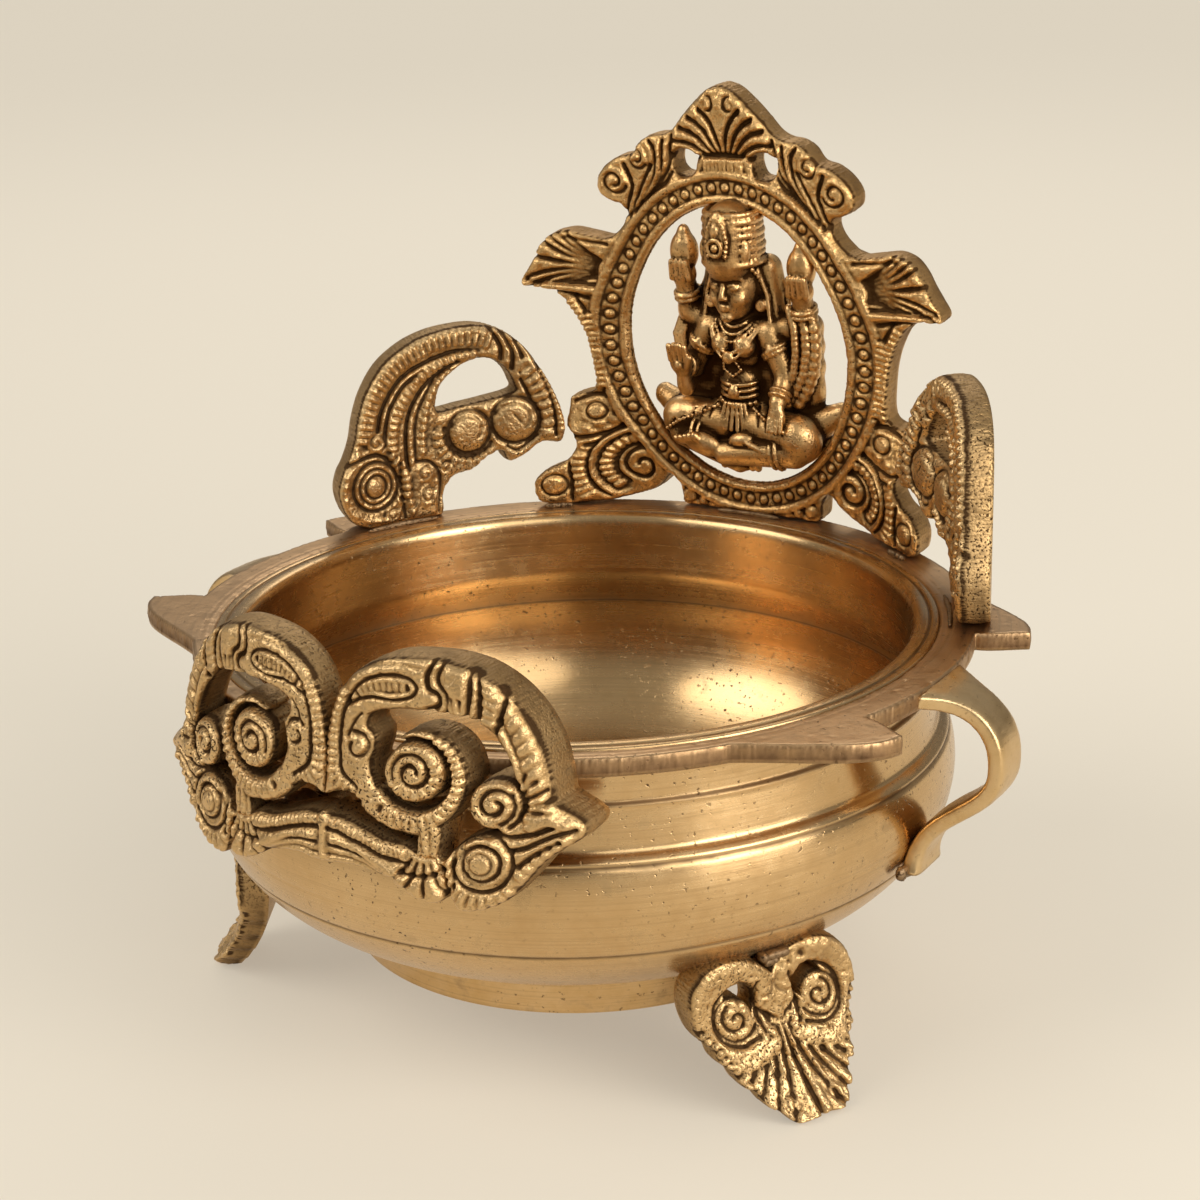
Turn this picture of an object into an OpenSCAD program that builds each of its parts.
// Brass urli: a turned bowl on a foot ring and three cast legs, with a cusped rim plate, two strap
// handles, cast scrolls at the front and a medallion with a seated figure at the back.
// +Z is up and the front is -Y. The origin is on the table, at the centre of the outer box.
// Heights named "drop" are measured down from the rim's upper face.

/* [Bowl] */
// Height of the rim's upper face above the table
rim_h = 77.5; // [76:0.5:82]
// Inside radius of the mouth
mouth_r = 66.6; // [65.6:0.2:67.2]
// Outside radius of the turned lip, inside the rim plate
lip_r = 72; // [71.5:0.5:72.5]
// Wall thickness of the belly
wall = 3.2; // [2.4:0.2:4]
// Largest outside radius of the belly
belly_r = 75.6; // [75:0.2:76]
// Half the height of the belly's curve
belly_half_h = 28; // [27:0.5:29]

/* [Rim plate] */
// Radius of the plain rim at the front
rim_r = 76; // [75:0.5:76]
// Radius of the wider rim under the rear castings
rear_rim_r = 80; // [79:0.5:82]
// Thickness of the rim plate
rim_t = 3.6; // [3:0.2:4.5]
// Radius of the lobes that carry the handles
lobe_r = 79.2; // [78.6:0.2:80]

/* [Foot ring] */
// Outside radius at the bottom of the foot ring
ring_r = 48.2; // [44:0.2:50]
// Wall thickness of the foot ring
ring_wall = 4; // [3:0.5:6]

/* [Handles] */
// Thickness of the handle strap
strap_t = 3.5; // [2.5:0.25:4]
// Width of the strap along its run
strap_w = 10; // [8:0.5:14]

/* [Legs] */
// Angle of the front legs from straight ahead
leg_angle = 62; // [56:1:68]
// Half the width of a leg at its volutes
leg_half_w = 18; // [16:0.5:22]
// How far a front leg's toe is swept to the rear for each millimetre of its height
leg_sweep = 0.18; // [0:0.02:0.24]

/* [Castings] */
// Thickness of the cast ornaments
cast_t = 7.5; // [7:0.25:8.5]
// Radius of the front castings' faces at rim height
front_face_r = 84.5; // [84:0.5:86]
// Radius of the rear castings' inner faces
rear_face_r = 74.5; // [74:0.25:75]
// Height of the crest above the rim
crest_h = 95.6; // [94:0.2:98]

/* [Hidden] */
$fn = 96;

// The bowl's axis stands behind the centre of the outer box, as the front castings reach farther.
axis_y = 2.5;

// Belly: a quarter-round section set out from the axis.
belly_drop = 28.5;
belly_inset = 40;
belly_a = belly_r - belly_inset;
shoulder_angle = 17;
ring_bottom_drop = 63.9;

// Front castings lean out a little below the rim.
front_lean = 0.13;
front_top = 22;
front_bottom = -27;

// Rear castings.
scroll_azimuth = 143;
medallion_face_r = 186;
medallion_tilt = 4;
ring_mid_h = 38.8;
ring_out_w = 36.4;
ring_out_h = 38.8;
ring_in_w = 28.6;
ring_in_h = 31.5;

// Points on a cubic Bezier curve.
function bez(a, b, c, d, n = 12) = [
    for (i = [0:n]) let (t = i / n, s = 1 - t)
        a * s * s * s + b * 3 * s * s * t + c * 3 * s * t * t + d * t * t * t
];

// Points on an arc or an ellipse about a centre.
function arc(c, rx, ry, a0, a1, n = 16) = [
    for (i = [0:n]) let (a = a0 + (a1 - a0) * i / n) [c[0] + rx * cos(a), c[1] + ry * sin(a)]
];

function mirrored(pts) = [for (i = [len(pts) - 1:-1:0]) [-pts[i][0], pts[i][1]]];
function unit(v) = v / norm(v);
function normal2(v) = [v[1], -v[0]];

// Outline of a band of one thickness along a curve.
function band(pts, t) = let (
    last = len(pts) - 1,
    side = [for (i = [0:last]) normal2(unit(pts[min(i + 1, last)] - pts[max(i - 1, 0)])) * t / 2]
) concat(
    [for (i = [0:last]) pts[i] + side[i]],
    [for (i = [last:-1:0]) pts[i] - side[i]]
);

// Radius and drop on the belly, grown or shrunk by a margin.
function belly(angle, grow = 0) = [
    belly_inset + (belly_a + grow) * cos(angle),
    -belly_drop + (belly_half_h + grow) * sin(angle)
];
function belly_curve(a0, a1, grow, n) = [
    for (i = [0:n]) belly(a0 + (a1 - a0) * i / n, grow)
];

module place() {
    translate([0, axis_y, rim_h]) children();
}

// Both sides of the object's middle plane.
module both_sides() {
    children();
    mirror([1, 0, 0]) children();
}

// Prisms of an outline drawn in X and height, run out from the axis past every casting.
reach = 110;
module to_front() {
    rotate([90, 0, 0]) linear_extrude(reach) children();
}

module to_rear() {
    mirror([0, 1, 0]) to_front() children();
}

module to_side() {
    rotate([90, 0, 90]) linear_extrude(reach) children();
}

// Outside of the bowl from the axis up to the lip.
outer_profile = concat(
    [[0, -belly_drop - belly_half_h]],
    belly_curve(-90, shoulder_angle, 0, 26),
    [
        [lip_r + 0.4, -19.8], [lip_r - 0.8, -12], [lip_r - 0.7, -11.3], [lip_r - 1.5, -10.7],
        [lip_r - 1.5, -6], [lip_r - 1.1, -4.6], [lip_r, -rim_t], [lip_r, 0]
    ]
);
inner_profile = concat(
    [[lip_r - 0.8, 0], [mouth_r + 0.6, -0.6], [mouth_r, -1.6], [mouth_r + 0.3, -8], [mouth_r + 1, -14]],
    belly_curve(shoulder_angle, -90, -wall, 26),
    [[0, -belly_drop - belly_half_h + wall]]
);

module bowl_solid() {
    rotate_extrude() polygon(concat(outer_profile, [[0, 0]]));
}

module bowl() {
    color("goldenrod") place() rotate_extrude() polygon(concat(outer_profile, inner_profile));
}

// Edge of the rim plate in the first quadrant, from the handle's lobe round the pointed cusp to
// the plain rim of radius r.
function rim_quarter(r) = concat(
    arc([0, 0], lobe_r, lobe_r, 0, 18.2, 8),
    bez([75.6, 24.6], [78.5, 25], [81, 27.4], [84.6, 29.5], 8),
    bez([84.4, 30.4], [82, 38.5], [70, 41], [r * cos(38), r * sin(38)]),
    arc([0, 0], r, r, 40, 90, 25)
);
function flipped(pts) = [for (i = [len(pts) - 1:-1:0]) [pts[i][0], -pts[i][1]]];

module rim_outline() {
    right = concat(flipped(rim_quarter(rim_r)), rim_quarter(rear_rim_r));
    polygon(concat(right, mirrored(right)));
}

module rim_plate() {
    color("rosybrown") place() translate([0, 0, -rim_t]) difference() {
        linear_extrude(rim_t) rim_outline();
        translate([0, 0, -1]) cylinder(r = lip_r, h = rim_t + 2);
    }
}

module foot_ring() {
    top = -54;
    color("goldenrod") place() difference() {
        rotate_extrude() polygon([
            [ring_r - ring_wall, -ring_bottom_drop], [ring_r, -ring_bottom_drop],
            [ring_r + 0.6, -ring_bottom_drop + 3], [ring_r + 1.6, top],
            [ring_r - ring_wall + 0.8, top]
        ]);
        bowl_solid();
    }
}

// Strap handle on the +X side: a bent band, flared in plan where it meets the rim.
strap_turn_z = -15.3;
strap_line = concat(
    bez([72, -rim_t / 2], [85, -rim_t / 2], [91.8, -6], [91.8, strap_turn_z + 1], 14),
    bez([91.8, strap_turn_z], [91.8, -25], [76.5, -25], [75.5, -38.5], 14)
);

module strap_band(width) {
    rotate([90, 0, 0]) translate([0, 0, -width / 2]) linear_extrude(width)
        polygon(band(strap_line, strap_t));
}

module strap() {
    half = strap_w / 2;
    plan = concat(bez([72, 13], [79, 12.5], [80, half], [89, half], 8), [[100, half]]);
    difference() {
        union() {
            intersection() {
                strap_band(30);
                translate([0, 0, strap_turn_z]) linear_extrude(20) polygon(concat(plan, flipped(plan)));
            }
            intersection() {
                strap_band(strap_w);
                translate([60, -half, strap_turn_z - 30]) cube([50, strap_w, 30]);
            }
        }
        translate([0, 0, -rim_t * 2]) cylinder(r = lobe_r, h = rim_t * 3);
        bowl_solid();
    }
}

module handle_right() {
    color("goldenrod") place() strap();
}

module handle_left() {
    color("goldenrod") place() mirror([1, 0, 0]) strap();
}

// Leg: a shell-shaped plate that hugs the belly at its volutes and flares out at its toe.
// Its local X runs outward from the axis and its local Y across the plate.
leg_top = -45;

// The outline moves sideways by `sweep` for each millimetre below the middle of the volutes.
leg_pivot_z = -55;
module leg_outline(sweep) {
    volute_r = leg_half_w / 2;
    right = concat(
        arc([volute_r, leg_top - volute_r], volute_r, volute_r, 150, 0, 16),
        bez([leg_half_w, leg_top - volute_r - 1], [leg_half_w - 0.4, -63], [10.5, -71], [5, -rim_h])
    );
    polygon([for (p = concat(right, mirrored(right))) [p[0] - sweep * (p[1] - leg_pivot_z), p[1]]]);
}

module leg_section() {
    polygon(concat(
        bez([71, leg_top + 1], [67.5, -57], [70.5, -66], [80, -rim_h + 1]),
        [[78.6, -rim_h], [74.1, -rim_h]],
        bez([73.1, -rim_h + 0.6], [66, -67], [60, -57], [64, leg_top + 1])
    ));
}

module leg_plate(sweep) {
    difference() {
        intersection() {
            rotate([90, 0, 0]) linear_extrude(60, center = true) leg_section();
            to_side() leg_outline(sweep);
        }
        bowl_solid();
    }
}

module at_leg(azimuth) {
    place() rotate(azimuth - 90) children();
}

module leg_front_left() {
    color("darkgoldenrod") at_leg(-leg_angle) leg_plate(-leg_sweep);
}

module leg_front_right() {
    color("darkgoldenrod") at_leg(leg_angle) leg_plate(leg_sweep);
}

module leg_rear() {
    color("darkgoldenrod") at_leg(180) leg_plate(0);
}

// Curved wall that the front castings are cut from. It seats on the rim plate's edge.
module front_shell() {
    rotate_extrude($fn = 0, $fa = 3, $fs = 1) polygon([
        [front_face_r - front_lean * front_top, front_top],
        [front_face_r - cast_t - 1 - front_lean * front_top, front_top],
        [rim_r, 0],
        [rim_r, -rim_t],
        [front_face_r - cast_t - front_lean * front_bottom + 1, front_bottom],
        [front_face_r - front_lean * front_bottom, front_bottom]
    ]);
}

// Cuts an outline, drawn in X and height, out of the front wall.
module front_cut() {
    intersection() {
        front_shell();
        to_front() children();
    }
}

// Right half of the front castings: a C-shaped arch round a spiral, with a pointed lower lobe.
arch_mid = [19.9, -1];

module front_scroll_outline() {
    difference() {
        union() {
            translate(arch_mid) circle(20);
            polygon(concat(
                [[22.6, -18], [26, -24.6]],
                bez([29, -24.8], [36, -24], [37, -16], [44, -11.8], 8),
                [[45.2, -9.2], [43.4, -7.2], [39, -5], [24, -8]]
            ));
        }
        translate(arch_mid) circle(13.2);
    }
    translate([17.2, -0.6]) circle(8.8);
    translate([31.2, -5.6]) circle(4.4);
    translate([16.8, -16]) square([7, 9]);
}

module swag_outline() {
    half = concat([[0, -9.6]], bez([3, -10], [9, -12.2], [13, -13.4], [16.4, -14.2], 6));
    low = bez([22.6, -18], [17, -23], [8, -18.6], [0, -19], 8);
    polygon(concat(half, low, mirrored(low), mirrored(half)));
}

// The two scrolls meet on the middle plane.
module front_scroll() {
    front_cut() difference() {
        front_scroll_outline();
        swag_outline();
        translate([-50, -50]) square([50, 100]);
    }
}

module front_scroll_right() {
    color("darkgoldenrod") place() front_scroll();
}

module front_scroll_left() {
    color("darkgoldenrod") place() mirror([1, 0, 0]) front_scroll();
}

module front_swag() {
    color("darkgoldenrod") place() front_cut() swag_outline();
}

// Curved wall that stands on the rim and carries the rear castings.
module rear_shell(height) {
    difference() {
        cylinder(r = rear_face_r + cast_t, h = height);
        translate([0, 0, -1]) cylinder(r = rear_face_r, h = height + 2);
    }
}

// Rear scroll castings: an arch over two balls, with a heavy curled head at the outer end.
// The outline's X runs along the rim toward the medallion.
module rear_scroll_outline() {
    difference() {
        polygon(concat(
            [[-2.5, 0], [-22, 0]],
            arc([-18.6, 9], 9, 9, 248, 120, 12),
            bez([-22.8, 20], [-20, 38], [6, 53], [20, 34.6], 16),
            bez([21, 33], [26.4, 26], [27, 15], [21, 14.5], 8),
            [[17.7, 12], [13.8, 10.6], [12.2, 13.4], [8.7, 12.6], [5, 9.6], [0.4, 8.4], [-2, 5]]
        ));
        polygon(concat(
            bez([-2.4, 24.2], [-3, 36], [14, 39], [15.6, 26.8], 12), [[9.3, 25.4], [3.5, 24.4]]
        ));
    }
}

module rear_scroll() {
    rotate(scroll_azimuth - 90) intersection() {
        translate([0, 0, -1]) rear_shell(60);
        to_rear() rear_scroll_outline();
    }
}

module rear_scroll_left() {
    color("peru") place() rear_scroll();
}

module rear_scroll_right() {
    color("peru") place() mirror([1, 0, 0]) rear_scroll();
}

// Medallion: a gently bowed, slightly forward-leaning upper part, and arms that follow the rim.
module medallion_lean() {
    translate([0, rear_face_r, 0]) rotate([medallion_tilt, 0, 0]) translate([0, -rear_face_r, 0])
        children();
}

module medallion_wall() {
    translate([0, rear_face_r - medallion_face_r, -10]) difference() {
        cylinder(r = medallion_face_r + cast_t, h = 120, $fn = 240);
        translate([0, 0, -1]) cylinder(r = medallion_face_r, h = 122, $fn = 240);
    }
}

function oval(rx, rz) = arc([0, ring_mid_h], rx, rz, 0, 352.5, 47);

// Crest, upper fans and lower fans, right half.
module fans() {
    polygon(concat(
        [[0, crest_h], [3.6, crest_h - 1.4], [8.4, 90.6], [13.6, 85.4]],
        bez([16, 84], [19, 84.4], [22, 83], [24.6, 79.6], 6),
        bez([27.6, 80], [32, 78], [34.4, 72], [29.6, 69.4], 6),
        [[27.6, 64], [31, 58]],
        [[33, 60], [40, 62.4], [45.4, 61.4], [48, 58], [51.8, 51.4], [51.4, 49.8]],
        bez([45, 49], [38.4, 46], [36.4, 36], [36, 26], 8),
        [[30, 26], [0, 70]]
    ));
}

module medallion_upper() {
    difference() {
        union() {
            polygon(oval(ring_out_w, ring_out_h));
            both_sides() fans();
        }
        both_sides() translate([10.6, 78.8]) circle(3);
        polygon(oval(ring_in_w, ring_in_h));
    }
}

// Arms with a spiral and a small foot, right half, up to the joint with the rear scroll.
module medallion_arm() {
    polygon(concat(
        [[41.6, 24.6], [41.2, 17.6], [39, 14], [40, 11.6], [41.8, 9.4], [45.4, 8]],
        bez([48.4, 6], [48.6, 0.4], [46, 0], [44, 0], 6),
        [[34, 0.6], [26, 3.2], [21.4, 7]],
        [[19, 4.8], [18.8, 0], [12, 0], [12, 8], [28, 17], [33, 26]]
    ));
}

module medallion_frame() {
    color("peru") place() difference() {
        union() {
            difference() {
                medallion_lean() intersection() {
                    medallion_wall();
                    to_rear() medallion_upper();
                }
                translate([-100, 0, -100]) cube([200, 200, 100]);
            }
            intersection() {
                rear_shell(30);
                to_rear() both_sides() medallion_arm();
            }
        }
        both_sides() rear_scroll();
    }
}

// Seated figure: a plain body of rounded limbs, held by the ring at its crown and knees.
module limb(a, b, ra, rb) {
    hull() {
        translate(a) sphere(ra, $fn = 16);
        translate(b) sphere(rb, $fn = 16);
    }
}

module figure_body() {
    hull() {
        translate([0, 1, 11.4]) scale([1, 0.5, 0.25]) sphere(9, $fn = 24);
        translate([0, 1, 17]) scale([1, 0.35, 0.3]) sphere(16, $fn = 24);
    }
    limb([0, 0, 22], [0, 0, 33], 7, 5);
    limb([0, 0, 33], [0, 0, 42], 5, 7);
    limb([0, -1, 52.4], [0, -1, 54.6], 5.6, 5.4);
    limb([0, 0, 58], [0, 1, 66], 5.6, 4.4);
    limb([0, 0, 45], [0, 0, 50], 3, 3);
    limb([0, 2, 66], [0, 3, 71.5], 4.4, 3);
    both_sides() {
        limb([3, -2, 20], [16, -1, 19], 5.6, 5.6);
        limb([16, -1, 19], [-4, -6, 17], 4.6, 3);
        limb([16, 0, 20], [22, 3.5, 24], 5, 3);
        limb([8, 1, 42], [14, 1, 33], 3.4, 2.8);
        limb([14, 1, 33], [13, -5, 36], 2.8, 2.6);
        limb([8, 2, 42], [15, 2, 48], 3, 2.6);
        limb([15, 2, 48], [14.4, 1, 60], 3, 1.8);
    }
}

module seated_figure() {
    color("peru") place() difference() {
        medallion_lean() translate([0, rear_face_r + 2, 0]) figure_body();
        medallion_lean() intersection() {
            medallion_wall();
            to_rear() medallion_upper();
        }
    }
}

// Brazing metal: small fillets and plugs where the pieces were joined.
module handle_braze() {
    color("lightgray") place() both_sides() for (start = [4, -7.5]) difference() {
        rotate(start) rotate_extrude(angle = 3.5) polygon([[72, -40.5], [77, -37.5], [75.4, -33.5]]);
        bowl_solid();
    }
}

module leg_braze() {
    color("lightgray") for (azimuth = [-leg_angle, leg_angle, 180]) at_leg(azimuth) difference() {
        intersection() {
            rotate_extrude() polygon([[60, -51], [68.5, -51], [69.8, -45.6], [60, -45.6]]);
            to_side()
                polygon([[-1.2, -50.2], [1.2, -50.2], [4.5, -46.2], [-4.5, -46.2]]);
        }
        bowl_solid();
    }
}

module front_braze() {
    color("lightgray") place() difference() {
        intersection() {
            rotate_extrude() polygon([[70, -18], [82, -18], [82, -13], [70, -13]]);
            to_front() {
                translate([-3, -30]) square([6, 40]);
                both_sides() translate([11, -30]) square([5, 40]);
            }
        }
        bowl_solid();
        front_shell();
    }
}

module rear_braze() {
    fillet = 1.4;
    color("lightgray") place() both_sides() for (span = [[84, 90], [53, 58], [20, 34]])
        rotate(span[0]) rotate_extrude(angle = span[1] - span[0]) polygon([
            [rear_face_r, 0], [rear_face_r - fillet, 0], [rear_face_r, fillet]
        ]);
}

bowl();
rim_plate();
foot_ring();
handle_left();
handle_right();
leg_front_left();
leg_front_right();
leg_rear();
front_scroll_left();
front_scroll_right();
front_swag();
medallion_frame();
seated_figure();
rear_scroll_left();
rear_scroll_right();
handle_braze();
leg_braze();
front_braze();
rear_braze();
